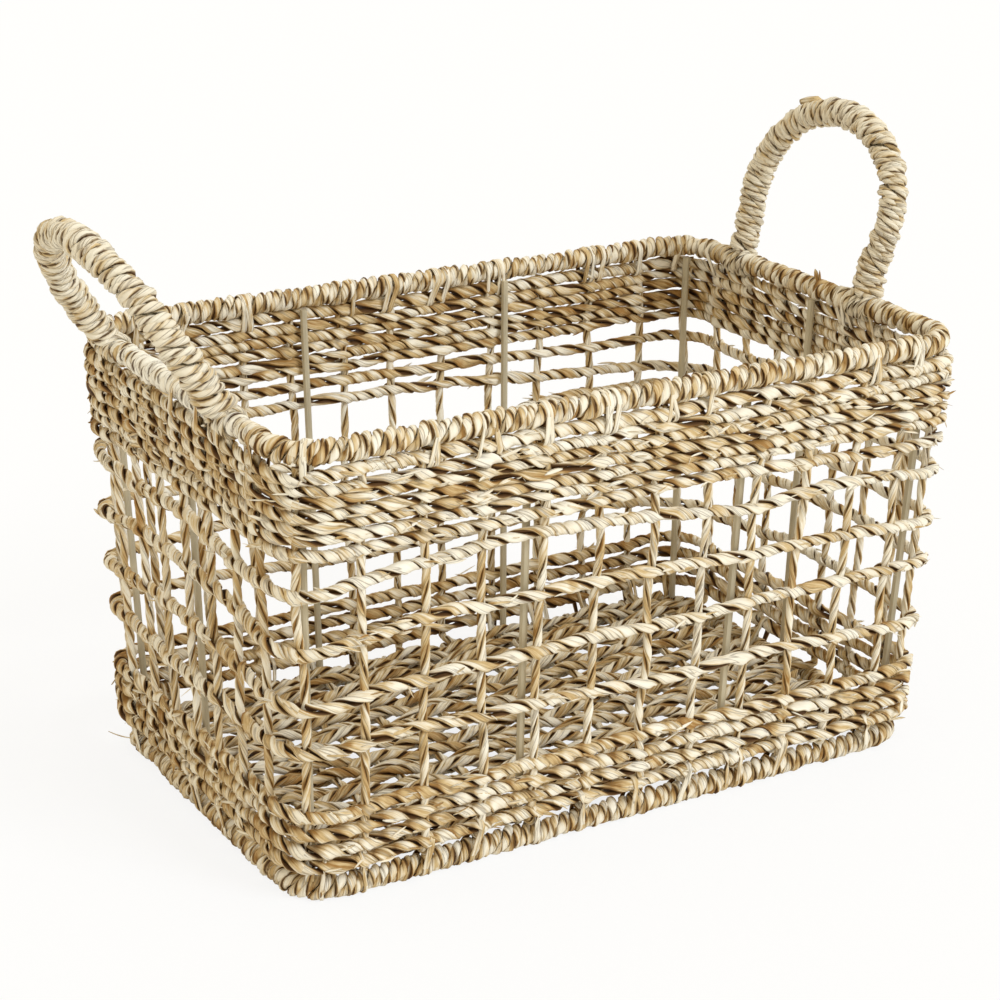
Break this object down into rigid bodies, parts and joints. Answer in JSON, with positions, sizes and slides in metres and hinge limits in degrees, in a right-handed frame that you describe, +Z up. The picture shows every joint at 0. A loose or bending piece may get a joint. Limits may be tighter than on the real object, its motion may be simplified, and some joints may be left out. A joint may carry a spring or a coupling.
{
  "type": "magazine basket",
  "caption": "Open rectangular basket of woven grass on a wire frame, tapering to its base, with wrapped rims and a swinging wrapped hoop handle at each end.",
  "frame": {"origin": "on the floor, under the middle of the whole object's box with its handles at rest; the basket's own middle lies 14.8 mm from it towards +X", "axes": "+X along the long sides towards the more upright handle, +Y towards the back, +Z up"},
  "size_m": [0.4749, 0.2484, 0.3339],
  "materials": {
    "grass": "dry twined grass, matt with a slight sheen along the fibres",
    "pale_grass": "pale bleached grass, tightly wrapped, matt",
    "painted_wire": "drab beige paint, satin"
  },
  "bodies": {
    "basket": {"rim_wire": "painted_wire", "base_wire": "painted_wire", "upright_wire_01": "painted_wire", "upright_wire_02": "painted_wire", "upright_wire_03": "painted_wire", "upright_wire_04": "painted_wire", "upright_wire_05": "painted_wire", "upright_wire_06": "painted_wire", "upright_wire_07": "painted_wire", "upright_wire_08": "painted_wire", "upright_wire_09": "painted_wire", "upright_wire_10": "painted_wire", "rim_wrap": "grass", "base_wrap": "grass", "cross_stake_01": "grass", "cross_stake_02": "grass", "cross_stake_03": "grass", "cross_stake_04": "grass", "cross_stake_05": "grass", "cross_stake_06": "grass", "cross_stake_07": "grass", "cross_stake_08": "grass", "cross_stake_09": "grass", "cross_stake_10": "grass", "cross_stake_11": "grass", "long_stake_01": "grass", "long_stake_02": "grass", "long_stake_03": "grass", "long_stake_04": "grass", "long_stake_05": "grass", "long_stake_06": "grass", "long_stake_07": "grass", "corner_stake_01": "grass", "corner_stake_02": "grass", "corner_stake_03": "grass", "corner_stake_04": "grass", "woven_row_01": "grass", "woven_row_02": "grass", "woven_row_03": "grass", "woven_row_04": "grass", "woven_row_05": "grass", "woven_row_06": "grass", "woven_row_07": "grass", "woven_row_08": "grass", "woven_row_09": "grass", "woven_row_10": "grass", "woven_row_11": "grass", "woven_row_12": "grass", "woven_row_13": "grass", "woven_row_14": "grass", "woven_row_15": "grass", "base_mat": "grass"},
    "left_handle": {"left_handle_wire": "painted_wire", "left_handle_wrap": "pale_grass", "left_handle_lashing_front": "pale_grass", "left_handle_lashing_back": "pale_grass"},
    "right_handle": {"right_handle_wire": "painted_wire", "right_handle_wrap": "pale_grass", "right_handle_lashing_front": "pale_grass", "right_handle_lashing_back": "pale_grass"}
  },
  "joints": [
    {"name": "left_handle_swing", "type": "hinge", "parent": "basket", "child": "left_handle", "pos_m": [-0.17839, 0, 0.23184], "axis": [0, -1, 0], "range_deg": [-50.4, 24.6]},
    {"name": "right_handle_swing", "type": "hinge", "parent": "basket", "child": "right_handle", "pos_m": [0.20801, 0, 0.23184], "axis": [0, 1, 0], "range_deg": [-31, 44]}
  ]
}
